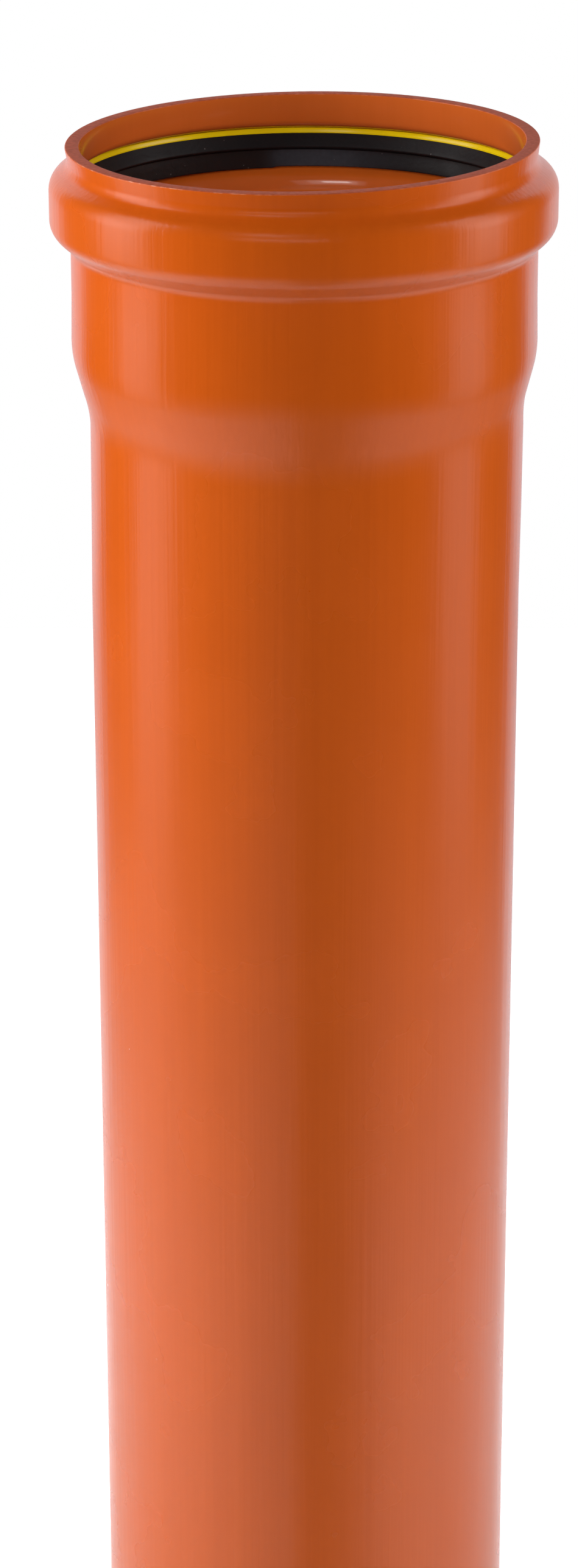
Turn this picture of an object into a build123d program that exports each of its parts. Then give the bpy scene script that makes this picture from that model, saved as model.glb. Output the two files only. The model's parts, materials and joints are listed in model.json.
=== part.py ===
"""Orange-brown PVC-U sewer pipe, 110 mm across, with a push-fit socket and its seal.

The pipe stands on its spigot end, socket up. Z runs up the pipe's axis and the origin is the
centre of the foot. All sizes are millimetres. In the socket every depth is measured down from
the mouth, the sawn rim at the top.
"""

import os
from math import atan2, radians, sin, tan

from build123d import *

# Barrel
laying_length = 500.0
pipe_diameter = 110.0
wall = 3.2
spigot_chamfer_length = 6.0
spigot_chamfer_angle = 15.0

# Socket, outside, from the mouth downwards
mouth_length = 5.7
upper_flank_length = 3.1
groove_length = 12.2
lower_flank_length = 4.5
socket_length = 27.3
taper_length = 14.4

# Socket, inside
spigot_clearance = 0.3
mouth_clearance = 0.5
mouth_wall = 3.5
groove_depth = 5.0
rim_chamfer = 0.4

# Bends of the formed wall, each on its tighter side; under the seal the groove's corners are sharp
neck_bend = 3.0
groove_bend = 5.1
crease_bend = 1.5
shoulder_bend = 22.0
taper_bend = 28.0

# Retaining ring, a flat bead with sloping sides
bead_width = 2.5
bead_height = 0.95
bead_bevel = 0.8
bead_clearance = 0.2

# Lip seal
seal_clearance = 0.2
ridge_clearance = 0.35
ridge_drop = 3.2
undercut_depth = 1.75
undercut_drop = 0.9
lip_clearance = 0.15
lip_overhang = 0.15
lip_thickness = 0.8
heel_width = 1.4
hollow_depth = 2.8

# Radii of the pipe's walls
pipe_radius = pipe_diameter / 2
pipe_bore = pipe_radius - wall
socket_bore = pipe_radius + spigot_clearance
socket_outer = socket_bore + wall
mouth_bore = pipe_radius + mouth_clearance
mouth_outer = mouth_bore + mouth_wall
groove_bore = socket_bore + groove_depth
groove_outer = groove_bore + wall
spigot_tip = pipe_radius - spigot_chamfer_length * tan(radians(spigot_chamfer_angle))

# Depths of the outside corners
groove_top = mouth_length + upper_flank_length
groove_bottom = groove_top + groove_length
crease = groove_bottom + lower_flank_length
shoulder = crease + socket_length
taper_end = shoulder + taper_length

# Depths of the inside corners, one wall away from the outside ones
upper_angle = atan2(groove_outer - mouth_outer, upper_flank_length)
lower_angle = atan2(groove_outer - socket_outer, lower_flank_length)
taper_angle = atan2(socket_outer - pipe_radius, taper_length)
groove_top_inside = groove_top + wall * tan(upper_angle / 2)
groove_bottom_inside = groove_bottom - wall * tan(lower_angle / 2)
crease_inside = crease - wall * tan(lower_angle / 2)
shoulder_inside = shoulder - wall * tan(taper_angle / 2)
taper_end_inside = taper_end - wall * tan(taper_angle / 2)
neck_inside = groove_top_inside - (groove_bore - mouth_bore) / tan(upper_angle)

# A spigot pushed home stops where the tapering bore has narrowed to its chamfered tip
insertion_depth = shoulder_inside + (socket_bore - spigot_tip) / tan(taper_angle)
total_length = laying_length + insertion_depth

# Bead in the groove's upper corner, one clearance from the groove's face and from its flank
bead_outer = groove_bore - bead_clearance
bead_inner = bead_outer - bead_width
flank_above_bead = groove_top_inside - (bead_clearance + bead_bevel) / tan(upper_angle)
bead_top = flank_above_bead + bead_clearance / sin(upper_angle)
bead_seat = bead_top + bead_height

# Seal between the bead and the lower flank: entry cone, ridge, undercut, lip, hollow and heel
seal_outer = groove_bore - seal_clearance
flank_below_heel = groove_bottom_inside + seal_clearance / tan(lower_angle)
heel_depth = flank_below_heel - seal_clearance / sin(lower_angle)
heel = seal_outer - heel_width
ridge = pipe_radius + ridge_clearance
ridge_depth = bead_seat + ridge_drop
undercut = ridge + undercut_depth
undercut_bottom = ridge_depth + undercut_drop
lip = pipe_radius + lip_clearance
lip_bottom = heel_depth + lip_overhang
lip_angle = atan2(undercut - lip, lip_bottom - undercut_bottom)
hollow_top = heel_depth - hollow_depth
lip_back = lip + lip_thickness + (lip_bottom - hollow_top) * tan(lip_angle)


def below_mouth(radius, depth):
    """Place a point of a section by its radius and its depth below the mouth."""
    return radius, total_length - depth


# Pipe: one extruded tube, its socket formed out of the same wall
pipe_section = [
    (below_mouth(mouth_outer - rim_chamfer, 0), 0),
    (below_mouth(mouth_outer, rim_chamfer), 0),
    (below_mouth(mouth_outer, mouth_length), neck_bend),
    (below_mouth(groove_outer, groove_top), groove_bend),
    (below_mouth(groove_outer, groove_bottom), groove_bend),
    (below_mouth(socket_outer, crease), crease_bend),
    (below_mouth(socket_outer, shoulder), shoulder_bend + wall),
    (below_mouth(pipe_radius, taper_end), taper_bend),
    ((pipe_radius, spigot_chamfer_length), 0),
    ((spigot_tip, 0), 0),
    ((pipe_bore, 0), 0),
    (below_mouth(pipe_bore, taper_end_inside), taper_bend + wall),
    (below_mouth(socket_bore, shoulder_inside), shoulder_bend),
    (below_mouth(socket_bore, crease_inside), crease_bend + wall),
    (below_mouth(groove_bore, groove_bottom_inside), 0),
    (below_mouth(groove_bore, groove_top_inside), 0),
    (below_mouth(mouth_bore, neck_inside), neck_bend + wall),
    (below_mouth(mouth_bore, rim_chamfer), 0),
    (below_mouth(mouth_bore + rim_chamfer, 0), 0),
]
with BuildPart() as pipe:
    with BuildSketch(Plane.XZ):
        with BuildLine():
            FilletPolyline(
                *[point for point, bend in pipe_section],
                radius=[bend for point, bend in pipe_section],
                close=True,
            )
        make_face()
    revolve(axis=Axis.Z)

# Retaining ring: the bead that shows above the seal
with BuildPart() as retaining_ring:
    with BuildSketch(Plane.XZ):
        with BuildLine():
            Polyline(
                below_mouth(bead_inner, bead_seat),
                below_mouth(bead_inner + bead_bevel, bead_top),
                below_mouth(bead_outer - bead_bevel, bead_top),
                below_mouth(bead_outer, bead_seat),
                close=True,
            )
        make_face()
    revolve(axis=Axis.Z)

# Seal ring: rubber, its flat top against the underside of the bead
with BuildPart() as seal_ring:
    with BuildSketch(Plane.XZ):
        with BuildLine():
            Polyline(
                below_mouth(bead_inner, bead_seat),
                below_mouth(ridge, ridge_depth),
                below_mouth(undercut, undercut_bottom),
                below_mouth(lip, lip_bottom),
                below_mouth(lip + lip_thickness, lip_bottom),
                below_mouth(lip_back, hollow_top),
                below_mouth(heel, heel_depth),
                below_mouth(seal_outer, heel_depth),
                below_mouth(seal_outer, bead_seat),
                close=True,
            )
        make_face()
    revolve(axis=Axis.Z)

pipe.part.label = "pipe"
retaining_ring.part.label = "retaining_ring"
seal_ring.part.label = "seal_ring"

os.makedirs("parts", exist_ok=True)
export_step(pipe.part, "parts/pipe.step")
export_step(retaining_ring.part, "parts/retaining_ring.step")
export_step(seal_ring.part, "parts/seal_ring.step")

print("pipe length", round(total_length, 2), "laying length", laying_length)
print("insertion depth", round(insertion_depth, 2))
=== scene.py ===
"""Looks of an orange-brown PVC-U sewer pipe that stands on its spigot end, socket up.

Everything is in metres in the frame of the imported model: Z runs up the pipe's axis from the centre of
the foot, and the camera looks along +Y. In the socket each depth is measured down from the mouth.
"""

import json
import logging
from dataclasses import dataclass, field
from enum import Enum
from math import atan2, cos, pi, radians, sin, tan
from typing import Any

import bpy
import numpy as np
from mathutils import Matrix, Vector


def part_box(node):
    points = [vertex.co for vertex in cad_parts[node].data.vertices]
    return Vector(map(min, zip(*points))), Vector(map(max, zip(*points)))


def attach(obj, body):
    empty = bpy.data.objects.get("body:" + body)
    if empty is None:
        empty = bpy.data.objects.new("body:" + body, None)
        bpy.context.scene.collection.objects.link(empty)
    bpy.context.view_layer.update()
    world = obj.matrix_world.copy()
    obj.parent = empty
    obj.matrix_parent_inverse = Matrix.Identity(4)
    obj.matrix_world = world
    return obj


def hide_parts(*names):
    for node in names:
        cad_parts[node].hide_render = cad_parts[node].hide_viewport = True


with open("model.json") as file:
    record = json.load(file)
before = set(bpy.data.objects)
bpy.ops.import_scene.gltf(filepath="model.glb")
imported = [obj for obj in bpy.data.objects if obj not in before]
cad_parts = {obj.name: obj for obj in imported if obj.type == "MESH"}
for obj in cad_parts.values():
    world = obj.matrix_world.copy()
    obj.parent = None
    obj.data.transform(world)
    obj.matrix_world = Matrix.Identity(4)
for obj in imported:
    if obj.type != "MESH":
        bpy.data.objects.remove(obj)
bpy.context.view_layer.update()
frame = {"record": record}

log = logging.getLogger("sewer_pipe")

BODY = "root"
MILLIMETRE = 0.001
FULL_TURN = 2 * pi
FEWEST_CRESTS = 2

Inputs = dict[str | int, Any]
Colour = tuple[float, float, float]
Edges = tuple[float, float, float, float]
Socket = bpy.types.NodeSocket
Tree = bpy.types.NodeTree


class Mark(Enum):
    """Point attributes that tell a material where a treatment of the surface lies."""

    SAWN = "sawn"
    BURR = "burr"
    BORE = "bore"
    COLLAR = "collar"
    # painted sheen: where the rubber lip is painted bluish grey in place of its reflection
    PAINTED_SHEEN = "painted_sheen"


class Ray(Enum):
    """Outputs of Light Path by which the studio tells one kind of ray from another."""

    CAMERA = "Is Camera Ray"
    GLOSSY = "Is Glossy Ray"
    TRANSMISSION = "Is Transmission Ray"


def smooth_step(low: float, high: float, values: np.ndarray) -> np.ndarray:
    """Rise from 0 where a value is at low to 1 at high, along 3t^2 - 2t^3 of the share t of the way."""
    share = np.clip((values - low) / (high - low), 0, 1)
    return share * share * (3 - 2 * share)


def band(edges: Edges, values: np.ndarray) -> np.ndarray:
    """Rise smoothly from 0 to 1 between the first two edges, and fall to 0 between the last two."""
    return smooth_step(edges[0], edges[1], values) * smooth_step(edges[3], edges[2], values)


def bell(gap: np.ndarray, width: np.ndarray | float) -> np.ndarray:
    """Fall from 1 in the middle along exp(-(d/w)^2), for the distance d from it and the width w."""
    return np.exp(-((gap / width) ** 2))


def turn_from(place: np.ndarray | float, angle: np.ndarray) -> np.ndarray:
    """Give the shorter way round from a place to an angle, within half a turn either way."""
    return np.angle(np.exp(1j * (angle - place)))


def rounded_section(corners: np.ndarray, bends: np.ndarray, arc_points: int) -> np.ndarray:
    """Round every corner of a closed section with a tangent arc.

    At a corner where the outline turns by t, an arc of radius r starts r tan(t/2) before the corner, and
    its centre stands r to the side of that point to which the outline turns. The arc then turns by t.

    Args:
        corners: Corner points, one row of radius and height each.
        bends: Radius of the arc at each corner.
        arc_points: Number of points on each arc.

    Returns:
        The points of all the arcs in order, one row of radius and height each.
    """
    before = corners - np.roll(corners, 1, axis=0)
    after = np.roll(corners, -1, axis=0) - corners
    before /= np.linalg.norm(before, axis=1, keepdims=True)
    after /= np.linalg.norm(after, axis=1, keepdims=True)
    turn = np.arctan2(
        before[:, 0] * after[:, 1] - before[:, 1] * after[:, 0], (before * after).sum(axis=1)
    )
    start = corners - before * (bends * np.tan(np.abs(turn) / 2))[:, None]
    to_side = np.column_stack([-before[:, 1], before[:, 0]]) * np.sign(turn)[:, None]
    centre = start + to_side * bends[:, None]
    first = np.arctan2(-to_side[:, 1], -to_side[:, 0])
    angle = first[:, None] + turn[:, None] * np.linspace(0, 1, arc_points)[None, :]
    arms = np.stack([np.cos(angle), np.sin(angle)], axis=2) * bends[:, None, None]
    return (centre[:, None, :] + arms).reshape(-1, 2)


def filled_section(section: np.ndarray, longest: float) -> np.ndarray:
    """Put more points on the long straight runs of a closed section.

    Each run between two points is parted into the fewest equal steps that are no longer than the longest.

    Args:
        section: Points of the outline, one row of radius and height each.
        longest: Longest run that may be left between two points.

    Returns:
        The outline with the points added.
    """
    closed = np.vstack([section, section[:1]])
    length = np.linalg.norm(np.diff(closed, axis=0), axis=1)
    steps = np.ceil(length / longest).astype(int)
    run = np.repeat(np.arange(len(steps)), steps)
    step = np.arange(len(run)) - np.repeat(np.cumsum(steps) - steps, steps)
    share = step / steps[run]
    return closed[run] + share[:, None] * (closed[run + 1] - closed[run])


def turned_grid(section: np.ndarray, turns: int) -> tuple[np.ndarray, np.ndarray, np.ndarray]:
    """Carry a section round the Z axis.

    Args:
        section: Points of the outline, one row of radius and height each.
        turns: Number of places round the axis.

    Returns:
        Radius, angle and height of every vertex, as grids of turns by section points. Angle 0 points at
        the camera, and the angle grows towards +X.
    """
    angle = np.linspace(0, FULL_TURN, turns, endpoint=False)
    radius = np.broadcast_to(section[None, :, 0], (turns, len(section)))
    height = np.broadcast_to(section[None, :, 1], (turns, len(section)))
    return radius.copy(), np.broadcast_to(angle[:, None], radius.shape).copy(), height.copy()


def linked_object(name: str, data: bpy.types.ID) -> bpy.types.Object:
    """Make an object and link it to the scene.

    Args:
        name: Name of the object.
        data: Its mesh, lamp or camera.

    Returns:
        The new object, which stands at the origin.
    """
    made = bpy.data.objects.new(name, data)
    bpy.context.scene.collection.objects.link(made)
    return made


def ring_mesh(name: str, x: np.ndarray, y: np.ndarray, z: np.ndarray) -> bpy.types.Object:
    """Make a ring-shaped mesh from a grid that closes on itself both ways.

    Each face joins two neighbours along the section with the same two at the next angle, and the last row
    and column join the first.

    Args:
        name: Name of the piece.
        x: X of every vertex, as a grid of turns by section points.
        y: Y of every vertex.
        z: Z of every vertex.

    Returns:
        The new object, smooth shaded and linked to the scene.
    """
    turns, points = x.shape
    places = np.column_stack([x.ravel(), y.ravel(), z.ravel()])
    index = np.arange(turns * points).reshape(turns, points)
    beside = np.roll(index, -1, axis=0)
    quads = np.stack(
        [index, np.roll(index, -1, axis=1), np.roll(beside, -1, axis=1), beside], axis=2
    ).reshape(-1, 4)
    mesh = bpy.data.meshes.new(name)
    mesh.vertices.add(len(places))
    mesh.vertices.foreach_set("co", places.astype(np.float32).ravel())
    mesh.loops.add(quads.size)
    mesh.loops.foreach_set("vertex_index", quads.astype(np.int32).ravel())
    mesh.polygons.add(len(quads))
    mesh.polygons.foreach_set("loop_start", np.arange(0, quads.size, quads.shape[1], dtype=np.int32))
    mesh.polygons.foreach_set("use_smooth", np.ones(len(quads), dtype=bool))
    mesh.update(calc_edges=True)
    mesh.validate()
    return linked_object(name, mesh)


def set_mark(piece: bpy.types.Object, mark: Mark, values: np.ndarray) -> None:
    """Store one number for every vertex, in their order, which the material reads as an attribute."""
    layer = piece.data.attributes.new(mark.value, "FLOAT", "POINT")
    layer.data.foreach_set("value", values.astype(np.float32).ravel())


def rolling(angle: np.ndarray, waves: int, seed: int, climb: np.ndarray | float = 0.0) -> np.ndarray:
    """Add up slow waves that run round and along a turned surface.

    Each wave is sin(n a + q c + p), with a whole number n of crests round the axis, so that it closes, and
    a seeded phase p and lengthwise rate q.

    Args:
        angle: Angle a of every vertex.
        waves: Number of waves, the first with the fewest crests and each next one with one more.
        seed: Seed of the phases and rates.
        climb: Place c of every vertex along the axis, in lengths of the shortest wave.

    Returns:
        The sum divided by the number of waves, within -1 and 1.
    """
    dice = np.random.default_rng(seed)
    crests = np.arange(waves) + FEWEST_CRESTS
    phase = dice.uniform(0, FULL_TURN, waves)
    rate = dice.uniform(-1, 1, waves) * FULL_TURN
    turn = crests * angle[..., None] + rate * np.asarray(climb)[..., None] + phase
    return np.sin(turn).mean(axis=-1)


class NodeSheet:
    """One node tree, with short calls that add nodes and wire them."""

    def __init__(self, tree: Tree) -> None:
        """Take hold of a tree."""
        self.tree = tree

    def add(self, kind: str, inputs: Inputs | None = None, **settings: Any) -> bpy.types.Node:
        """Add one node.

        Args:
            kind: Type of the node without the ShaderNode that it starts with.
            inputs: Sockets or plain values for its inputs, by name or number.
            settings: Properties of the node.

        Returns:
            The new node.
        """
        node = self.tree.nodes.new("ShaderNode" + kind)
        for name, value in settings.items():
            setattr(node, name, value)
        self.feed(node, inputs or {})
        return node

    def feed(self, node: bpy.types.Node, inputs: Inputs) -> None:
        """Link sockets to a node's inputs, or set the inputs to plain values.

        Args:
            node: Node that is fed.
            inputs: Sockets or plain values, by the name or number of the input.
        """
        for name, value in inputs.items():
            if isinstance(value, Socket):
                self.tree.links.new(value, node.inputs[name])
            else:
                node.inputs[name].default_value = value

    def math(self, operation: str, *values: Any) -> Socket:
        """Work out one number from sockets or numbers, by an operation of the Math node."""
        return self.add("Math", dict(enumerate(values)), operation=operation).outputs[0]

    def ramp(self, value: Any, start: float, end: float, low: Any = 0.0, high: Any = 1.0) -> Socket:
        """Grade a value smoothly, from low where it is at start to high where it is at end."""
        sockets = {"Value": value, "From Min": start, "From Max": end, "To Min": low, "To Max": high}
        return self.add("MapRange", sockets, interpolation_type="SMOOTHSTEP").outputs[0]

    def mix(self, share: Any, first: Any, second: Any) -> Socket:
        """Mix two numbers, which are the Mix node's inputs 2 and 3, by the share of the second."""
        return self.add("Mix", {0: share, 2: first, 3: second}, data_type="FLOAT").outputs[0]

    def blend(self, share: Any, first: Any, second: Any) -> Socket:
        """Mix two colours, which are the Mix node's inputs 6 and 7, by the share of the second."""
        sockets = {0: share, 6: opaque(first), 7: opaque(second)}
        return self.add("Mix", sockets, data_type="RGBA").outputs[2]

    def noise(self, vector: Any, scale: Any, detail: float = 2.0) -> Socket:
        """Give the value of a noise texture at a vector."""
        return self.add("TexNoise", {"Vector": vector, "Scale": scale, "Detail": detail}).outputs[0]

    def bump(self, height: Socket, distance: float, **under: Socket) -> Socket:
        """Give the normal of a raised surface, on top of the normal under it if one is named."""
        return self.add("Bump", {"Height": height, "Distance": distance} | under).outputs[0]

    def mark(self, mark: Mark) -> Socket:
        """Read a mark that the vertices carry."""
        return self.add("Attribute", attribute_name=mark.value).outputs["Fac"]

    def ray(self, ray: Ray) -> Socket:
        """Tell whether the ray that meets the surface is of one kind."""
        return self.add("LightPath").outputs[ray.value]

    def mirrored(self) -> Socket:
        """Tell whether the ray comes from a mirroring or a clear surface."""
        return self.math("MAXIMUM", self.ray(Ray.GLOSSY), self.ray(Ray.TRANSMISSION))

    def group(self, tree: Tree, **inputs: Any) -> Socket:
        """Place a node group with values for its inputs, and give its only output."""
        return self.add("Group", inputs, node_tree=tree).outputs[0]


def opaque(colour: Any) -> Any:
    """Add full opacity to a plain colour, and leave a socket as it is."""
    return colour if isinstance(colour, Socket) else (*colour, 1.0)


def new_group(name: str, inputs: dict[str, float | None], output: str) -> tuple[NodeSheet, list[Socket]]:
    """Start a shader node group with one float output.

    Args:
        name: Name of the group.
        inputs: Names of its inputs, with a default for a float and None for a vector.
        output: Name of its output.

    Returns:
        The sheet of its nodes, and the sockets of its inputs in order.
    """
    tree = bpy.data.node_groups.new(name, "ShaderNodeTree")
    for socket, default in inputs.items():
        kind = "NodeSocketVector" if default is None else "NodeSocketFloat"
        made = tree.interface.new_socket(socket, in_out="INPUT", socket_type=kind)
        if default is not None:
            made.default_value = default
    tree.interface.new_socket(output, in_out="OUTPUT", socket_type="NodeSocketFloat")
    given = tree.nodes.new("NodeGroupInput").outputs
    return NodeSheet(tree), [given[socket] for socket in inputs]


def close_group(sheet: NodeSheet, result: Socket) -> Tree:
    """Wire a result to a group's output, and give the finished group."""
    sheet.feed(sheet.tree.nodes.new("NodeGroupOutput"), {0: result})
    return sheet.tree


def speck_group() -> Tree:
    """Make the group that scatters specks of dust.

    Space is cut into cells, a share of them holds a speck, and the speck covers what lies nearer to the
    cell's own point than its radius, which differs from cell to cell. It thins out from its core.

    Returns:
        The group, with an output of 1 on a speck and 0 beside it.
    """
    least_radius, rim, core = 0.3, 1.0, 0.5
    sheet, (place, scale, share, radius) = new_group(
        "dust_specks", {"Vector": None, "Scale": 200.0, "Share": 0.05, "Radius": 0.2}, "Mask"
    )
    cell = sheet.add("TexVoronoi", {"Vector": place, "Scale": scale}).outputs
    lots = sheet.add("SeparateColor", {0: cell["Color"]}).outputs
    chosen = sheet.math("LESS_THAN", lots[0], share)
    reach = sheet.math("MULTIPLY", radius, sheet.math("ADD", lots[1], least_radius))
    near = sheet.math("DIVIDE", cell["Distance"], reach)
    return close_group(sheet, sheet.math("MULTIPLY", chosen, sheet.ramp(near, rim, core)))


def cloud_group() -> Tree:
    """Make the group of soft cloudy patches.

    Noise is stretched about its middle by the contrast, so that it fills 0 to 1 with soft ends.

    Returns:
        The group, with an output from 0 to 1.
    """
    middle, detail = 0.5, 4.0
    sheet, (place, scale, contrast) = new_group(
        "cloudy_patches", {"Vector": None, "Scale": 30.0, "Contrast": 2.0}, "Cloud"
    )
    off_middle = sheet.math("SUBTRACT", sheet.noise(place, scale, detail), middle)
    stretched = sheet.math("MULTIPLY_ADD", off_middle, contrast, middle)
    return close_group(sheet, sheet.ramp(stretched, 0.0, 1.0))


def streak_group() -> Tree:
    """Make the group of fine streaks that run along the pipe's axis.

    Noise is read from Object coordinates that are shortened along Z, so that each blotch is drawn out
    into a line.

    Returns:
        The group, with an output from 0 to 1.
    """
    low, high, detail = 0.25, 0.75, 3.0
    sheet, (place, scale, shortening) = new_group(
        "drawn_streaks", {"Vector": None, "Scale": 300.0, "Shortening": 0.01}, "Streak"
    )
    squeeze = sheet.add("CombineXYZ", {0: 1.0, 1: 1.0, 2: shortening}).outputs[0]
    drawn = sheet.add("VectorMath", {0: place, 1: squeeze}, operation="MULTIPLY").outputs[0]
    return close_group(sheet, sheet.ramp(sheet.noise(drawn, scale, detail), low, high))


@dataclass(frozen=True)
class Effects:
    """The node groups that the finishes share."""

    specks: Tree = field(default_factory=speck_group)
    clouds: Tree = field(default_factory=cloud_group)
    streaks: Tree = field(default_factory=streak_group)


class MaterialSheet(NodeSheet):
    """The nodes of a new material, with the Object coordinates that its patterns read."""

    def __init__(self, name: str) -> None:
        """Start a material, which has a Principled BSDF and an output.

        Args:
            name: Name of the material.
        """
        self.material = bpy.data.materials.new(name)
        self.material.use_nodes = True
        super().__init__(self.material.node_tree)
        self.place = self.add("TexCoord").outputs["Object"]

    def finished(self, inputs: Inputs) -> bpy.types.Material:
        """Feed the Principled BSDF, and give the finished material."""
        self.feed(self.tree.nodes["Principled BSDF"], inputs)
        return self.material

    def reshaded(self, shader: bpy.types.Node) -> bpy.types.Material:
        """Show another shader instead of the Principled BSDF, and give the finished material.

        Args:
            shader: Node whose first output is shown.

        Returns:
            The material.
        """
        self.tree.nodes.remove(self.tree.nodes["Principled BSDF"])
        self.feed(self.tree.nodes["Material Output"], {0: shader.outputs[0]})
        return self.material


@dataclass(frozen=True)
class Dust:
    """Specks of dust that lie on a finish."""

    colour: Colour
    scale: float
    share: float
    radius: float
    cover: float = 1.0

    def settle(self, sheet: MaterialSheet, effects: Effects, colour: Socket) -> tuple[Socket, Socket]:
        """Strew the specks over a colour.

        Args:
            sheet: Nodes of the material.
            effects: Node groups, of which one scatters specks.
            colour: Colour of the finish.

        Returns:
            The mask of the specks, and the colour with the specks on it.
        """
        specks = sheet.group(
            effects.specks, Vector=sheet.place, Scale=self.scale, Share=self.share, Radius=self.radius
        )
        return specks, sheet.blend(sheet.math("MULTIPLY", specks, self.cover), colour, self.colour)


@dataclass(frozen=True)
class PvcFinish:
    """Semi-gloss extruded skin of the pipe, with its sawn ends, and with painted light on the inside."""

    effects: Effects
    skin: Colour = (0.66, 0.106, 0.0042)
    deep_skin: Colour = (0.60, 0.093, 0.0035)
    # painted light: bore and deep_bore are a paler, brighter copy of the skin colour for the socket below
    # the seal, standing in for light that reaches too little of it
    bore: Colour = (0.88, 0.168, 0.0190)
    deep_bore: Colour = (0.83, 0.154, 0.0160)
    # painted light: collar and deep_collar are a copy of the skin colour for the mouth's inside wall, with
    # more green and blue, matched to how that wall looks lit
    collar: Colour = (0.61, 0.121, 0.0195)
    deep_collar: Colour = (0.57, 0.111, 0.0165)
    # sawn and pale_sawn: partly the cut face's own duller tone, partly painted light: darkened as painted
    # shade on the up-facing face, and made pinker as a painted sheen
    sawn: Colour = (0.42, 0.068, 0.020)
    pale_sawn: Colour = (0.57, 0.112, 0.046)
    burr: Colour = (0.84, 0.40, 0.25)
    dust: Dust = Dust((0.80, 0.62, 0.50), scale=130.0, share=0.018, radius=0.06, cover=0.75)
    ior: float = 1.53
    roughness: float = 0.24
    cloudy_roughness: float = 0.05
    bore_roughness: float = 0.12
    bore_polish: float = 1.0
    polish_roughness: float = 0.08
    polish_ior: float = 2.3
    sawn_roughness: float = 0.65
    dusty_roughness: float = 0.30
    cloud_scale: float = 22.0
    fine_streak_scale: float = 700.0
    broad_streak_scale: float = 130.0
    streak_shortening: float = 0.012
    fine_share: float = 0.45
    streaky_tone: float = 0.6
    grain_scale: float = 900.0
    fleck_scale: float = 520.0
    fleck_detail: float = 5.0
    fleck_start: float = 0.47
    fleck_full: float = 0.66
    peel_scale: float = 260.0
    streak_height: float = 0.000048
    bore_streaks: float = 0.15
    peel_height: float = 0.000005
    saw_height: float = 0.00004

    def material(self) -> bpy.types.Material:
        """Make the material.

        Returns:
            The material, which reads Object coordinates and the marks of the collar, the bore and of sawn
            and frayed places.
        """
        sheet = MaterialSheet("pvc_orange_brown")
        effects, place = self.effects, sheet.place
        drawn_out = {"Vector": place, "Shortening": self.streak_shortening}
        cloud = sheet.group(effects.clouds, Vector=place, Scale=self.cloud_scale)
        grain = sheet.group(effects.clouds, Vector=place, Scale=self.grain_scale)
        fine = sheet.group(effects.streaks, Scale=self.fine_streak_scale, **drawn_out)
        broad = sheet.group(effects.streaks, Scale=self.broad_streak_scale, **drawn_out)
        drawn = sheet.mix(self.fine_share, broad, fine)
        bore, collar, sawn = sheet.mark(Mark.BORE), sheet.mark(Mark.COLLAR), sheet.mark(Mark.SAWN)
        inside = sheet.math("MAXIMUM", bore, collar)

        # painted light: in the bore and on the mouth's inside wall the skin's colours give way to their
        # painted lit copies
        pale = sheet.blend(collar, sheet.blend(bore, self.skin, self.bore), self.collar)
        deep = sheet.blend(collar, sheet.blend(bore, self.deep_skin, self.deep_bore), self.deep_collar)
        clean = sheet.blend(sheet.mix(self.streaky_tone, cloud, drawn), deep, pale)
        specks, skin = self.dust.settle(sheet, effects, clean)
        # the cut's colours carry painted shade and a painted sheen besides its own grain
        cut = sheet.blend(grain, self.sawn, self.pale_sawn)
        fleck = sheet.noise(place, self.fleck_scale, self.fleck_detail)
        flecks = sheet.ramp(fleck, self.fleck_start, self.fleck_full)
        burr = sheet.math("MULTIPLY", sheet.mark(Mark.BURR), flecks)

        smooth = sheet.mix(inside, self.roughness, self.bore_roughness)
        gloss = sheet.math("MULTIPLY_ADD", cloud, self.cloudy_roughness, smooth)
        gloss = sheet.math("MULTIPLY_ADD", specks, self.dusty_roughness, gloss)

        relief = sheet.math("MULTIPLY", drawn, sheet.mix(inside, 1.0, self.bore_streaks))
        normal = sheet.bump(relief, self.streak_height)
        normal = sheet.bump(sheet.noise(place, self.peel_scale), self.peel_height, Normal=normal)
        normal = sheet.bump(sheet.math("MULTIPLY", grain, sawn), self.saw_height, Normal=normal)
        return sheet.finished({
            "Base Color": sheet.blend(burr, sheet.blend(sawn, skin, cut), self.burr),
            "Roughness": sheet.mix(sawn, gloss, self.sawn_roughness),
            "IOR": self.ior,
            "Coat Weight": sheet.math("MULTIPLY", bore, self.bore_polish),
            "Coat Roughness": self.polish_roughness,
            "Coat IOR": self.polish_ior,
            "Normal": normal,
        })


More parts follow.
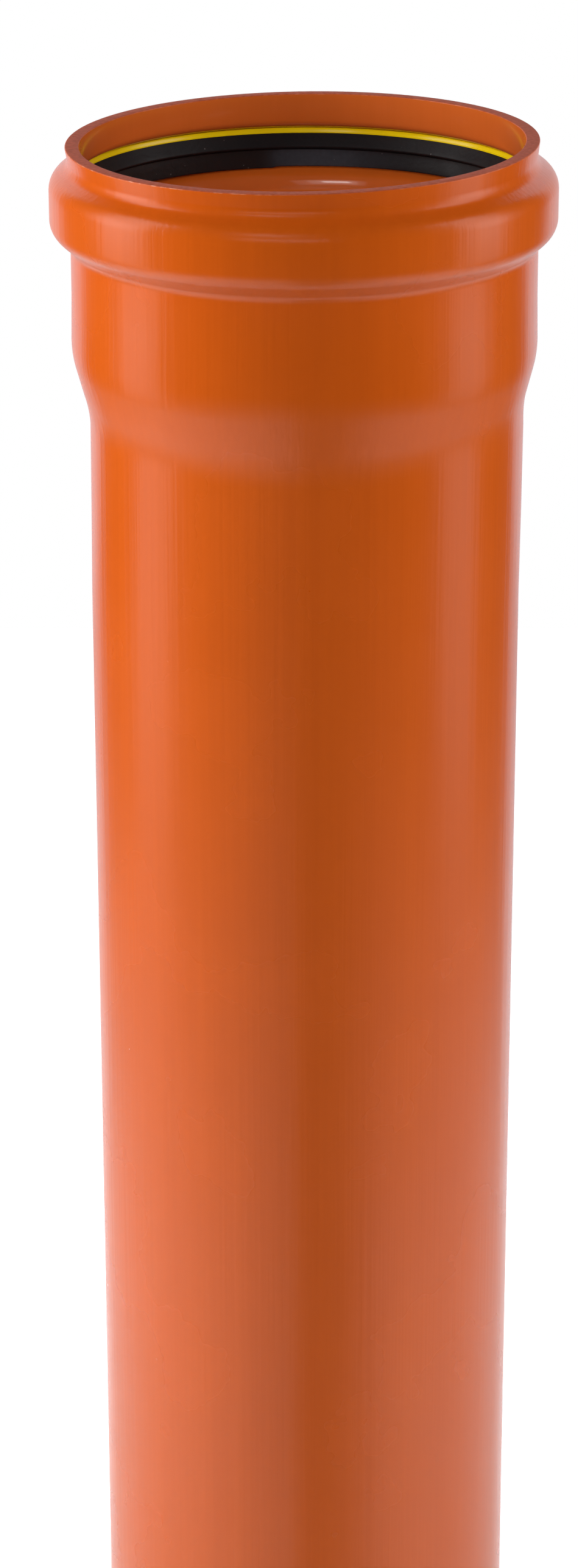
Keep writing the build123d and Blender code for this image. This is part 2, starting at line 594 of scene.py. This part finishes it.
@dataclass(frozen=True)
class RubberFinish:
    """Black moulded rubber with a little dust, and a painted bluish sheen on part of the lip."""

    effects: Effects
    black: Colour = (0.0110, 0.0091, 0.0098)
    # painted sheen: bluish grey that stands in for the lip's reflection
    painted_sheen: Colour = (0.0420, 0.0420, 0.0520)
    dust: Dust = Dust((0.15, 0.14, 0.135), scale=800.0, share=0.07, radius=0.18, cover=0.8)
    ior: float = 1.52
    specular: float = 0.35
    roughness: float = 0.42
    cloudy_roughness: float = 0.14
    dusty_roughness: float = 0.30
    cloud_scale: float = 90.0
    film_scale: float = 900.0
    film_share: float = 0.4
    least_sheen: float = 0.45
    skin_height: float = 0.00003

    def material(self) -> bpy.types.Material:
        """Make the material.

        Returns:
            The material, which reads Object coordinates and the mark of the painted sheen.
        """
        sheet = MaterialSheet("seal_rubber_black")
        cloud = sheet.group(self.effects.clouds, Vector=sheet.place, Scale=self.cloud_scale)
        film = sheet.group(self.effects.clouds, Vector=sheet.place, Scale=self.film_scale)
        patches = sheet.mix(self.film_share, cloud, film)
        # painted sheen: cloudy patches of bluish grey where the lip is marked
        sheen_share = sheet.math("MULTIPLY", sheet.mark(Mark.PAINTED_SHEEN), sheet.mix(patches, self.least_sheen, 1.0))
        clean = sheet.blend(sheen_share, self.black, self.painted_sheen)
        specks, colour = self.dust.settle(sheet, self.effects, clean)
        gloss = sheet.math("MULTIPLY_ADD", cloud, self.cloudy_roughness, self.roughness)
        return sheet.finished({
            "Base Color": colour,
            "Roughness": sheet.math("MULTIPLY_ADD", specks, self.dusty_roughness, gloss),
            "IOR": self.ior,
            "Specular IOR Level": self.specular,
            "Normal": sheet.bump(film, self.skin_height),
        })


@dataclass(frozen=True)
class BeadFinish:
    """Glossy yellow plastic of the retaining ring."""

    effects: Effects
    yellow: Colour = (0.94, 0.72, 0.003)
    deep_yellow: Colour = (0.90, 0.66, 0.003)
    dust: Dust = Dust((0.75, 0.68, 0.45), scale=500.0, share=0.02, radius=0.12)
    ior: float = 1.55
    roughness: float = 0.16
    cloudy_roughness: float = 0.06
    cloud_scale: float = 120.0
    skin_height: float = 0.000006

    def material(self) -> bpy.types.Material:
        """Make the material.

        Returns:
            The material, which reads Object coordinates.
        """
        sheet = MaterialSheet("ring_plastic_yellow")
        cloud = sheet.group(self.effects.clouds, Vector=sheet.place, Scale=self.cloud_scale)
        clean = sheet.blend(cloud, self.deep_yellow, self.yellow)
        return sheet.finished({
            "Base Color": self.dust.settle(sheet, self.effects, clean)[1],
            "Roughness": sheet.math("MULTIPLY_ADD", cloud, self.cloudy_roughness, self.roughness),
            "IOR": self.ior,
            "Normal": sheet.bump(cloud, self.skin_height),
        })


def mount_radius(name: str) -> float:
    """Read the radius of one of the record's mounts, in metres."""
    rows = {row["name"]: row for row in frame["record"]["mounts"]}
    return rows[name]["dims"]["r_mm"] * MILLIMETRE


@dataclass(frozen=True)
class Sway:
    """A smooth step by which the wall's middle moves along X on the way up to the mouth."""

    shift: float
    start_depth: float
    full_depth: float


@dataclass
class SocketForm:
    """Sizes of the formed socket, which the wall, the seal and the ring share."""

    mouth_height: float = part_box("pipe")[1][2]
    groove_outer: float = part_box("pipe")[1][0]
    pipe_radius: float = mount_radius("spigot")
    pipe_bore: float = mount_radius("flow_bore")
    socket_bore: float = mount_radius("socket")
    mouth_length: float = 0.0057
    upper_flank_length: float = 0.0031
    groove_length: float = 0.0122
    lower_flank_length: float = 0.0045
    socket_length: float = 0.0273
    taper_length: float = 0.0144
    mouth_clearance: float = 0.0005
    mouth_wall: float = 0.0035
    inside_rise: float = 0.00055
    # Shift, start depth and full depth of each sway.
    sways: tuple[Sway, ...] = (
        Sway(0.00042, 0.115, 0.076),
        Sway(-0.00065, 0.074, 0.060),
        Sway(-0.00019, 0.028, 0.020),
        Sway(-0.00035, 0.008, 0.002),
    )
    lean: float = 0.0035
    lean_foot: float = 0.050
    lean_top: float = 0.026

    def __post_init__(self) -> None:
        """Work out the radii, the outside and inside depths and the slopes from the sizes."""
        self.wall = self.pipe_radius - self.pipe_bore
        self.socket_outer = self.socket_bore + self.wall
        self.mouth_bore = self.pipe_radius + self.mouth_clearance
        self.mouth_outer = self.mouth_bore + self.mouth_wall
        self.groove_bore = self.groove_outer - self.wall
        self.groove_top = self.mouth_length + self.upper_flank_length
        self.groove_bottom = self.groove_top + self.groove_length
        self.crease = self.groove_bottom + self.lower_flank_length
        self.shoulder = self.crease + self.socket_length
        self.taper_end = self.shoulder + self.taper_length
        self.upper_angle = atan2(self.groove_outer - self.mouth_outer, self.upper_flank_length)
        self.lower_angle = atan2(self.groove_outer - self.socket_outer, self.lower_flank_length)
        self.taper_angle = atan2(self.socket_outer - self.pipe_radius, self.taper_length)
        lower_wall = self.wall * tan(self.lower_angle / 2) + self.inside_rise
        taper_wall = self.wall * tan(self.taper_angle / 2)
        self.groove_top_inside = self.groove_top + self.wall * tan(self.upper_angle / 2)
        self.groove_bottom_inside = self.groove_bottom - lower_wall
        self.crease_inside = self.crease - lower_wall
        self.shoulder_inside = self.shoulder - taper_wall
        self.taper_end_inside = self.taper_end - taper_wall

    def upper_flank_inside(self, radius: float) -> float:
        """Give the depth at which the groove's upper flank stands at a radius, inside."""
        return self.groove_top_inside - (self.groove_bore - radius) / tan(self.upper_angle)

    def section(
        self, rows: list[tuple[float, float, float]], arc_points: int, longest: float
    ) -> np.ndarray:
        """Make a closed section from corners that are given by their depth below the mouth.

        Args:
            rows: Radius, depth and bend of each corner, in order.
            arc_points: Number of points on each bend.
            longest: Longest straight run between two points.

        Returns:
            Points of the outline, one row of radius and height each.
        """
        table = np.array(rows)
        corners = np.column_stack([table[:, 0], self.mouth_height - table[:, 1]])
        return filled_section(rounded_section(corners, table[:, 2], arc_points), longest)

    def turned(
        self, name: str, radius: np.ndarray, angle: np.ndarray, height: np.ndarray
    ) -> bpy.types.Object:
        """Make a turned piece that stands out of true as the hot-formed socket does.

        A vertex lies at x = r sin(a), y = -r cos(a). The sways add up to a shift along X that depends on
        the depth, and near the mouth the piece leans, so that its height grows in proportion to X.

        Args:
            name: Name of the piece.
            radius: Distance of every vertex from the axis.
            angle: Angle of every vertex.
            height: Height of every vertex.

        Returns:
            The new piece.
        """
        depth = self.mouth_height - height
        x = radius * np.sin(angle)
        lift = self.lean * x * smooth_step(self.lean_foot, self.lean_top, depth)
        shifts = [sway.shift * smooth_step(sway.start_depth, sway.full_depth, depth) for sway in self.sways]
        return ring_mesh(name, x + np.sum(shifts, axis=0), -radius * np.cos(angle), height + lift)


@dataclass
class PipeWall:
    """The extruded barrel with its socket, formed out of the same wall, and its two sawn ends."""

    form: SocketForm
    finish: PvcFinish
    turns: int = 580
    arc_points: int = 7
    longest_run: float = 0.022
    edge_round: float = 0.00030
    waist: float = 0.0007
    neck_bend: float = 0.0030
    groove_bend: float = 0.0051
    crease_bend: float = 0.0030
    inner_crease_bend: float = 0.0075
    shoulder_bend: float = 0.0220
    taper_bend: float = 0.0380
    corner_bend: float = 0.0004
    collar_depth: float = 0.0084
    collar_reach: float = 0.0589
    collar_bend: float = 0.0022
    spigot_chamfer_length: float = 0.0060
    spigot_chamfer_angle: float = 15.0
    belly: float = 0.00026
    belly_depths: Edges = (0.036, 0.050, 0.056, 0.066)
    wall_ripple: float = 0.00004
    ripple_waves: int = 9
    ripple_pitch: float = 0.16
    calm_foot: float = 0.03
    calm_mouth: float = 0.02
    sag: float = 0.0024
    sag_depths: Edges = (0.046, 0.068, 0.068, 0.110)
    cut_slant: float = 0.00067
    cut_roughness: float = 0.00002
    burrs: int = 22
    burr_heights: tuple[float, float] = (0.00002, 0.00010)
    burr_widths: tuple[float, float] = (0.0002, 0.0008)
    burr_angle: float = -46.0
    burr_spread: float = 6.0
    fray_spread: float = 32.0
    least_frayed: float = 0.22
    seed: int = 11

    def section(self) -> np.ndarray:
        """Draw the wall's section, from the mouth down the outside and up again inside.

        Returns:
            Points of the outline, one row of radius and height each.
        """
        form = self.form
        foot = form.mouth_height
        tip = form.pipe_radius - self.spigot_chamfer_length * tan(radians(self.spigot_chamfer_angle))
        waist = form.mouth_outer - self.waist
        waist_depth = form.groove_top - (form.groove_outer - waist) / tan(form.upper_angle)
        rows = [
            (form.mouth_outer, 0, self.edge_round),
            (waist, waist_depth, self.neck_bend),
            (form.groove_outer, form.groove_top, self.groove_bend),
            (form.groove_outer, form.groove_bottom, self.groove_bend),
            (form.socket_outer, form.crease, self.crease_bend),
            (form.socket_outer, form.shoulder, self.shoulder_bend + form.wall),
            (form.pipe_radius, form.taper_end, self.taper_bend),
            (form.pipe_radius, foot - self.spigot_chamfer_length, self.corner_bend),
            (tip, foot, self.corner_bend),
            (form.pipe_bore, foot, self.edge_round),
            (form.pipe_bore, form.taper_end_inside, self.taper_bend + form.wall),
            (form.socket_bore, form.shoulder_inside, self.shoulder_bend),
            (form.socket_bore, form.crease_inside, self.inner_crease_bend),
            (form.groove_bore, form.groove_bottom_inside, self.corner_bend),
            (form.groove_bore, form.groove_top_inside, self.corner_bend),
            (self.collar_reach, form.upper_flank_inside(self.collar_reach), self.corner_bend),
            (form.mouth_bore, self.collar_depth, self.collar_bend),
            (form.mouth_bore, 0, self.edge_round),
        ]
        return form.section(rows, self.arc_points, self.longest_run)

    def burr_map(self, angle: np.ndarray) -> np.ndarray:
        """Say how far the burr that the saw left stands out round the mouth.

        Each tuft is a bell curve about its own place, and at any angle the tallest tuft counts. The tufts
        lie close together on one side of the rim.

        Args:
            angle: Angle of every vertex.

        Returns:
            The height of the burr at each vertex.
        """
        dice = np.random.default_rng(self.seed)
        places = dice.normal(radians(self.burr_angle), radians(self.burr_spread), self.burrs)
        widths = dice.uniform(*self.burr_widths, self.burrs)
        heights = dice.uniform(*self.burr_heights, self.burrs)
        gap = turn_from(places, angle[:, :1]) * self.form.mouth_outer
        tallest = (heights * bell(gap, widths)).max(axis=1)
        return np.broadcast_to(tallest[:, None], angle.shape)

    def fray_map(self, angle: np.ndarray, at_mouth: np.ndarray) -> np.ndarray:
        """Say how much the mouth's two edges are frayed.

        Round the mouth they are frayed most at the burr, by a bell curve, and least opposite. Over an edge
        the fraying is 4t(1 - t) of the share t of the way onto the sawn face, so 1 halfway and 0 beside.

        Args:
            angle: Angle of every vertex.
            at_mouth: Share of the way onto the sawn face for every vertex.

        Returns:
            A number from 0 to 1 for each vertex.
        """
        at_burr = bell(turn_from(radians(self.burr_angle), angle), radians(self.fray_spread))
        frayed = self.least_frayed + (1 - self.least_frayed) * at_burr
        return frayed * 4 * at_mouth * (1 - at_mouth)

    def build(self) -> bpy.types.Object:
        """Turn the section, with the small faults of a drawn wall and a sawn end.

        The wall's radius rolls a little round and along the pipe, and the socket bellies out above its
        shoulder. The taper sags towards the camera, by the cosine of the angle. The mouth is cut
        slightly out of square, so that its height grows towards +X, and has a burr on its outer edge.

        Returns:
            The new piece, which stands for the CAD pipe.
        """
        form = self.form
        section = self.section()
        radius, angle, height = turned_grid(section, self.turns)
        depth = form.mouth_height - height
        in_bore = np.broadcast_to(np.arange(len(section)) > section[:, 0].argmin(), radius.shape)
        calm = smooth_step(0, self.calm_foot, height) * smooth_step(0, self.calm_mouth, depth)
        ripple = rolling(angle, self.ripple_waves, self.seed, height / self.ripple_pitch)
        radius += self.wall_ripple * ripple * calm + self.belly * band(self.belly_depths, depth)
        height -= self.sag * np.cos(angle) * band(self.sag_depths, depth)

        at_mouth = smooth_step(self.edge_round, 0, depth)
        at_foot = smooth_step(self.edge_round, 0, height)
        on_edge = smooth_step(form.mouth_outer - self.edge_round, form.mouth_outer, radius)
        radius += self.burr_map(angle) * on_edge * at_mouth
        dice = np.random.default_rng(self.seed + 1)
        height += self.cut_roughness * at_mouth * dice.uniform(-1, 0, height.shape)
        height += self.cut_slant * np.sin(angle) * smooth_step(form.mouth_length, 0, depth)

        collar = smooth_step(form.groove_top_inside, self.collar_depth, depth)
        piece = form.turned("pipe_wall", radius, angle, height)
        set_mark(piece, Mark.SAWN, np.maximum(at_mouth, at_foot))
        set_mark(piece, Mark.BURR, self.fray_map(angle, at_mouth))
        set_mark(piece, Mark.COLLAR, in_bore * collar * (1 - at_mouth))
        set_mark(piece, Mark.BORE, in_bore * (1 - collar))
        piece.data.materials.append(self.finish.material())
        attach(piece, BODY)
        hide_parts("pipe")
        return piece


@dataclass
class RetainingRing:
    """The yellow ring, which shows as a steep bead with a thin lower edge."""

    form: SocketForm
    finish: BeadFinish
    turns: int = 640
    arc_points: int = 6
    longest_run: float = 0.0012
    clearance: float = 0.0002
    top_clearance: float = 0.00008
    width: float = 0.0025
    height: float = 0.00128
    face_run: float = 0.00045
    crown: float = 0.0005
    lower_edge: float = 0.00022
    lower_step: float = 0.00012
    step_slope: float = 0.00007
    crown_bend: float = 0.00042
    edge_bend: float = 0.00006

    def __post_init__(self) -> None:
        """Seat the bead with its clearances from the groove's face and from its upper flank."""
        form = self.form
        gap = self.top_clearance / sin(form.upper_angle)
        self.outer = form.groove_bore - self.clearance
        self.inner = self.outer - self.width
        self.face_top = self.inner + self.lower_step + self.face_run
        self.top = form.upper_flank_inside(self.face_top + self.crown) + gap
        self.outer_top = form.upper_flank_inside(self.outer) + gap
        self.seat = self.top + self.height

    def build(self) -> bpy.types.Object:
        """Turn the bead's section.

        Returns:
            The new piece, which stands for the CAD ring.
        """
        rows = [
            (self.inner, self.seat, self.edge_bend),
            (self.outer, self.seat, self.edge_bend),
            (self.outer, self.outer_top, self.edge_bend),
            (self.face_top + self.crown, self.top, self.crown_bend),
            (self.face_top, self.top, self.crown_bend),
            (self.inner + self.lower_step, self.seat - self.lower_edge - self.step_slope, self.edge_bend),
            (self.inner, self.seat - self.lower_edge, self.edge_bend),
        ]
        section = self.form.section(rows, self.arc_points, self.longest_run)
        piece = self.form.turned("yellow_ring", *turned_grid(section, self.turns))
        piece.data.materials.append(self.finish.material())
        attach(piece, BODY)
        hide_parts("retaining_ring")
        return piece


@dataclass
class LipSeal:
    """The black seal, with its entry cone, ridge, undercut and lip."""

    form: SocketForm
    ring: RetainingRing
    finish: RubberFinish
    turns: int = 960
    arc_points: int = 6
    longest_run: float = 0.0011
    clearance: float = 0.0002
    ridge_clearance: float = 0.00035
    ridge_drop: float = 0.00335
    undercut_depth: float = 0.00175
    undercut_drop: float = 0.0009
    lip_clearance: float = 0.0007
    lip_overhang: float = 0.0007
    lip_thickness: float = 0.0008
    heel_width: float = 0.0014
    hollow_depth: float = 0.0028
    edge_bend: float = 0.0001
    ridge_bend: float = 0.0004
    lip_bend: float = 0.0003
    lip_wave: float = 0.00012
    lip_waves: int = 7
    ridge_wave: float = 0.00006
    ridge_waves: int = 12
    kink_angle: float = 187.7
    kink_spread: float = 0.9
    kink_lift: float = 0.00045
    kink_fold: float = 0.0006
    kink_start: float = 20.0
    kink_full: float = 60.0
    # Angles where the painted sheen on the lip fades in and out
    sheen_end: float = 148.0
    sheen_full: float = 176.0
    sheen_edge: float = 5.0
    seed: int = 5

    def __post_init__(self) -> None:
        """Work out the corners of the ridge, the undercut, the lip and the heel."""
        form = self.form
        flank = form.groove_bottom_inside + self.clearance / tan(form.lower_angle)
        self.outer = form.groove_bore - self.clearance
        self.heel_depth = flank - self.clearance / sin(form.lower_angle)
        self.ridge = form.pipe_radius + self.ridge_clearance
        self.ridge_depth = self.ring.seat + self.ridge_drop
        self.undercut = self.ridge + self.undercut_depth
        self.undercut_bottom = self.ridge_depth + self.undercut_drop
        self.lip = form.pipe_radius + self.lip_clearance
        self.lip_bottom = self.heel_depth + self.lip_overhang

    def section(self) -> np.ndarray:
        """Draw the seal's section, from the ring down the inside and back through the groove.

        Returns:
            Points of the outline, one row of radius and height each.
        """
        slope = (self.undercut - self.lip) / (self.lip_bottom - self.undercut_bottom)
        hollow_top = self.heel_depth - self.hollow_depth
        lip_back = self.lip + self.lip_thickness + (self.lip_bottom - hollow_top) * slope
        rows = [
            (self.outer, self.ring.seat, self.edge_bend),
            (self.ring.inner, self.ring.seat, self.edge_bend),
            (self.ridge, self.ridge_depth, self.ridge_bend),
            (self.undercut, self.undercut_bottom, self.edge_bend),
            (self.lip, self.lip_bottom, self.lip_bend),
            (self.lip + self.lip_thickness, self.lip_bottom, self.edge_bend),
            (lip_back, hollow_top, self.edge_bend),
            (self.outer - self.heel_width, self.heel_depth, self.edge_bend),
            (self.outer, self.heel_depth, self.edge_bend),
        ]
        return self.form.section(rows, self.arc_points, self.longest_run)

    def build(self) -> bpy.types.Object:
        """Turn the section, with a lip whose lower edge waves and has a kink.

        The lip follows slow waves round the ring, in full at its lower edge and fading out towards the
        undercut. On one side of the kink the lip stands a little higher, on the other it is folded back,
        and both fade out towards the front.

        Returns:
            The new piece, which stands for the CAD seal.
        """
        radius, angle, height = turned_grid(self.section(), self.turns)
        depth = self.form.mouth_height - height
        on_lip = smooth_step(self.undercut + self.lip_thickness, self.undercut, radius)
        on_lip *= smooth_step(self.undercut_bottom, self.lip_bottom, depth)
        turn = np.degrees(angle)
        before = smooth_step(self.kink_angle + self.kink_spread, self.kink_angle - self.kink_spread, turn)
        off_front = np.degrees(np.minimum(angle, FULL_TURN - angle))
        faded = smooth_step(self.kink_start, self.kink_full, off_front)
        lift = self.lip_wave * rolling(angle, self.lip_waves, self.seed)
        lift += self.kink_lift * before * faded
        fold = self.ridge_wave * rolling(angle, self.ridge_waves, self.seed + 1)
        fold += self.kink_fold * (1 - before) * faded
        piece = self.form.turned("lip_seal", radius + fold * on_lip, angle, height + lift * on_lip)
        # painted sheen: marks the lip below the undercut on the far side, from the kink to the right
        below_undercut = smooth_step(self.undercut_bottom, self.undercut_bottom + self.edge_bend, depth)
        sheen_share = smooth_step(self.sheen_end, self.sheen_full, turn)
        sheen_share *= smooth_step(self.kink_angle + self.sheen_edge, self.kink_angle - self.sheen_edge, turn)
        set_mark(piece, Mark.PAINTED_SHEEN, below_undercut * sheen_share)
        piece.data.materials.append(self.finish.material())
        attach(piece, BODY)
        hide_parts("seal_ring")
        return piece


@dataclass(frozen=True)
class SoftLamp:
    """A flat rectangular lamp that faces the pipe's mouth.

    Azimuth runs in degrees from the camera's side towards +X, and elevation in degrees above the mouth.
    The radiance is the brightness of the lamp's face, where 1 is white.
    """

    name: str
    azimuth: float
    elevation: float
    distance: float
    width: float
    height: float
    radiance: float
    mirrored: bool = True

    def hang(self, mouth_height: float) -> bpy.types.Object:
        """Hang the lamp, which gives the power pi L A for a radiance L and an area A.

        Args:
            mouth_height: Height of the mouth that it faces.

        Returns:
            The lamp, which glossy surfaces show only if it is mirrored.
        """
        data = bpy.data.lights.new(self.name, "AREA")
        data.shape = "RECTANGLE"
        data.size = self.width
        data.size_y = self.height
        data.energy = pi * self.radiance * self.width * self.height
        lamp = linked_object(self.name, data)
        turn, rise = radians(self.azimuth), radians(self.elevation)
        flat = self.distance * cos(rise)
        lamp.location = (flat * sin(turn), -flat * cos(turn), mouth_height + self.distance * sin(rise))
        lamp.rotation_euler = (pi / 2 - rise, 0, turn)
        lamp.visible_camera = False
        lamp.visible_glossy = self.mirrored
        return lamp


@dataclass
class Studio:
    """White table, soft lamps, the white wall behind, a black panel that paints the pipe's shadow into
    reflections, and the camera.
    """

    mouth_height: float
    table_half_width: float = 1.80
    table_front: float = -1.80
    table_back: float = 1.25
    table_white: float = 0.79
    # painted light: the table's colour falls from table_white to table_dim between dim_from and dim_to
    table_dim: float = 0.10
    dim_from: float = 0.36
    dim_to: float = 1.45
    near_lift: float = 0.10
    far_lift: float = 1.0
    lift_from: float = 0.12
    lift_to: float = 0.34
    back_glow: float = 0.64
    back_edge: float = 0.12
    side_glow: float = 0.34
    side_from: float = 0.10
    side_to: float = 0.40
    side_full: float = 0.45
    side_end: float = 0.95
    white: Colour = (1.0, 1.0, 1.0)
    wall_tint: Colour = (0.86, 0.96, 1.06)
    wall_white: float = 0.95
    wall_foot_slope: float = -0.417
    wall_top_slope: float = 0.75
    wall_side_slope: float = 0.82
    wall_edge: float = 0.04
    fill: float = 0.04
    dark_corner: float = 0.02
    # painted shadow: place, size, soft edges, cover and black of the panel that stands in for the pipe's
    # shadow on the table in reflections
    shadow_panel_front: float = -0.25
    shadow_panel_height: float = 0.45
    shadow_panel_left: float = -0.032
    shadow_panel_right: float = 0.240
    shadow_panel_left_solid: float = -0.010
    shadow_panel_right_solid: float = 0.030
    shadow_panel_cover: float = 0.85
    shadow_panel_black: float = 0.01
    camera_tilt: float = 21.21
    camera_distance: float = 1.01906
    camera_above_mouth: float = 0.22397
    focal_pixels: float = 6822.36
    axis_column: float = 501.4
    photo_width: int = 949
    photo_height: int = 2576
    sensor: float = 36.0
    # Name, azimuth, elevation, distance, width, height and radiance of each lamp.
    lamps: tuple[SoftLamp, ...] = (
        SoftLamp("softbox_left", -87, 14, 1.05, 0.49, 1.15, 2.1),
        SoftLamp("softbox_left_foot", -87, -22, 1.10, 0.49, 0.24, 1.05),
        SoftLamp("softbox_right", 86, 14, 1.05, 0.46, 1.15, 1.65),
        SoftLamp("softbox_right_foot", 86, -22, 1.10, 0.46, 0.24, 0.80),
        SoftLamp("lamp_over_camera", -16, 40, 1.60, 0.95, 0.60, 0.14),
        SoftLamp("lamp_heart", -18, 41, 1.58, 0.62, 0.42, 0.26),
        SoftLamp("lamp_core", -20, 42, 1.56, 0.34, 0.16, 1.7),
        SoftLamp("fill_front", -10, 17, 1.60, 1.00, 0.40, 8.5, mirrored=False),
        SoftLamp("fill_left", -89, 5, 0.95, 0.50, 0.40, 11.9, mirrored=False),
        SoftLamp("fill_right", 89, 5, 0.95, 0.50, 0.40, 8.1, mirrored=False),
        SoftLamp("lamp_behind", 187, 22, 2.00, 0.40, 0.40, 30.0, mirrored=False),
    )

    def panel(self, name: str, corners: list[tuple[float, float, float]]) -> bpy.types.Object:
        """Set up a flat four-cornered piece of the studio.

        Args:
            name: Name of the piece.
            corners: Its corners in order.

        Returns:
            The piece, which belongs to the stage.
        """
        mesh = bpy.data.meshes.new(name)
        mesh.from_pydata(corners, [], [(0, 1, 2, 3)])
        piece = linked_object(name, mesh)
        return piece

    def floor(self) -> None:
        """Lay the white table, whose colour is painted darker away from the pipe as a falloff of light, and
        which is lifted to white for the camera.

        In reflections it glows behind the pipe, between the wall's sides, and close beside the pipe.
        """
        x, front, back = self.table_half_width, self.table_front, self.table_back
        table = self.panel("table_top", [(-x, front, 0), (x, front, 0), (x, back, 0), (-x, back, 0)])
        sheet = MaterialSheet("white_table")
        by_camera = sheet.ray(Ray.CAMERA)
        away = sheet.add("VectorMath", {0: sheet.place}, operation="LENGTH").outputs["Value"]
        # painted light: the table's colour falls from white near the pipe to dark grey far off
        white = sheet.ramp(away, self.dim_from, self.dim_to, self.table_white, self.table_dim)
        matte = sheet.add("BsdfDiffuse", {"Color": white})
        lift = sheet.ramp(away, self.lift_from, self.lift_to, self.near_lift, self.far_lift)
        seen = sheet.math("MULTIPLY", by_camera, lift)
        across, along, _ = sheet.add("SeparateXYZ", {0: sheet.place}).outputs
        aside = sheet.math("ABSOLUTE", across)
        width = sheet.math("MULTIPLY", along, self.wall_side_slope)
        between_sides = sheet.math("SUBTRACT", width, aside)
        behind = sheet.ramp(between_sides, -self.back_edge, self.back_edge, 0.0, self.back_glow)
        near = sheet.ramp(away, self.side_end, self.side_full, 0.0, self.side_glow)
        beside = sheet.math("MULTIPLY", near, sheet.ramp(aside, self.side_from, self.side_to))
        shown = sheet.math("MULTIPLY", sheet.mirrored(), sheet.math("MAXIMUM", behind, beside))
        colour = sheet.blend(by_camera, self.wall_tint, self.white)
        glow = sheet.add("Emission", {"Color": colour, "Strength": sheet.math("ADD", seen, shown)})
        both = sheet.add("AddShader", {0: matte.outputs[0], 1: glow.outputs[0]})
        table.data.materials.append(sheet.reshaded(both))

    def painted_shadow_panel(self) -> None:
        """Stand a black panel with soft edges in front of the pipe, which only shows in reflections, as a
        painted shadow of the pipe on the table.
        """
        left, right, y, top = self.shadow_panel_left, self.shadow_panel_right, self.shadow_panel_front, self.shadow_panel_height
        shadow_sheet = self.panel("painted_shadow_panel", [(left, y, 0), (right, y, 0), (right, y, top), (left, y, top)])
        sheet = MaterialSheet("painted_shadow_black")
        x = sheet.add("SeparateXYZ", {0: sheet.place}).outputs[0]
        left_part = sheet.ramp(x, left, self.shadow_panel_left_solid)
        right_part = sheet.ramp(x, right, self.shadow_panel_right_solid, 0.0, self.shadow_panel_cover)
        solid = sheet.math("MULTIPLY", left_part, right_part)
        black = sheet.add("BsdfDiffuse", {"Color": opaque((self.shadow_panel_black,) * 3)})
        clear = sheet.add("BsdfTransparent")
        cover = sheet.add("MixShader", {0: solid, 1: clear.outputs[0], 2: black.outputs[0]})
        shadow_sheet.data.materials.append(sheet.reshaded(cover))
        shadow_sheet.visible_camera = False
        shadow_sheet.visible_diffuse = False
        shadow_sheet.visible_shadow = False

    def world(self) -> None:
        """Set the surroundings: white for the camera, a white wall behind in reflections, and a soft fill.

        A direction meets the wall if, against its share towards the back, it rises neither below the wall's
        foot nor above its top, and points no further aside than the wall's sides.
        """
        world = bpy.data.worlds.new("studio")
        bpy.context.scene.world = world
        world.use_nodes = True
        world.node_tree.nodes.clear()
        sheet = NodeSheet(world.node_tree)
        way = sheet.add("TexCoord").outputs["Generated"]
        aside, behind, up = sheet.add("SeparateXYZ", {0: way}).outputs
        above_foot = sheet.math("MULTIPLY_ADD", behind, -self.wall_foot_slope, up)
        below_top = sheet.math("SUBTRACT", sheet.math("MULTIPLY", behind, self.wall_top_slope), up)
        width = sheet.math("MULTIPLY", behind, self.wall_side_slope)
        between_sides = sheet.math("SUBTRACT", width, sheet.math("ABSOLUTE", aside))
        inside = sheet.math("MINIMUM", sheet.math("MINIMUM", above_foot, below_top), between_sides)
        wall = sheet.ramp(inside, -self.wall_edge, self.wall_edge, self.dark_corner, self.wall_white)
        by_camera = sheet.ray(Ray.CAMERA)
        strength = sheet.mix(by_camera, sheet.mix(sheet.mirrored(), self.fill, wall), 1.0)
        colour = sheet.blend(by_camera, self.wall_tint, self.white)
        light = sheet.add("Background", {"Color": colour, "Strength": strength})
        sheet.add("OutputWorld", {0: light.outputs[0]})

    def camera(self) -> None:
        """Set up the camera at the photograph's viewing angle, with the pipe's axis in its column."""
        data = bpy.data.cameras.new("camera")
        data.sensor_width = self.sensor
        data.sensor_fit = "AUTO"
        data.lens = self.focal_pixels / self.photo_height * self.sensor
        data.shift_x = (self.photo_width / 2 - self.axis_column) / self.photo_height
        camera = linked_object("camera", data)
        camera.location = (0, -self.camera_distance, self.mouth_height + self.camera_above_mouth)
        camera.rotation_euler = (pi / 2 - radians(self.camera_tilt), 0, 0)
        bpy.context.scene.camera = camera

    def build(self) -> None:
        """Set up the whole studio."""
        self.floor()
        self.painted_shadow_panel()
        self.world()
        for lamp in self.lamps:
            lamp.hang(self.mouth_height)
        self.camera()
        bpy.context.scene.view_settings.view_transform = "Standard"


def main() -> None:
    """Build the three pieces and the studio, and report each piece."""
    logging.basicConfig(level=logging.INFO, format="%(message)s")
    effects = Effects()
    form = SocketForm()
    ring = RetainingRing(form, BeadFinish(effects))
    makers = [PipeWall(form, PvcFinish(effects)), ring, LipSeal(form, ring, RubberFinish(effects))]
    for maker in makers:
        piece = maker.build()
        log.info("%s: %d faces", piece.name, len(piece.data.polygons))
    Studio(form.mouth_height).build()


if __name__ == "__main__":
    main()
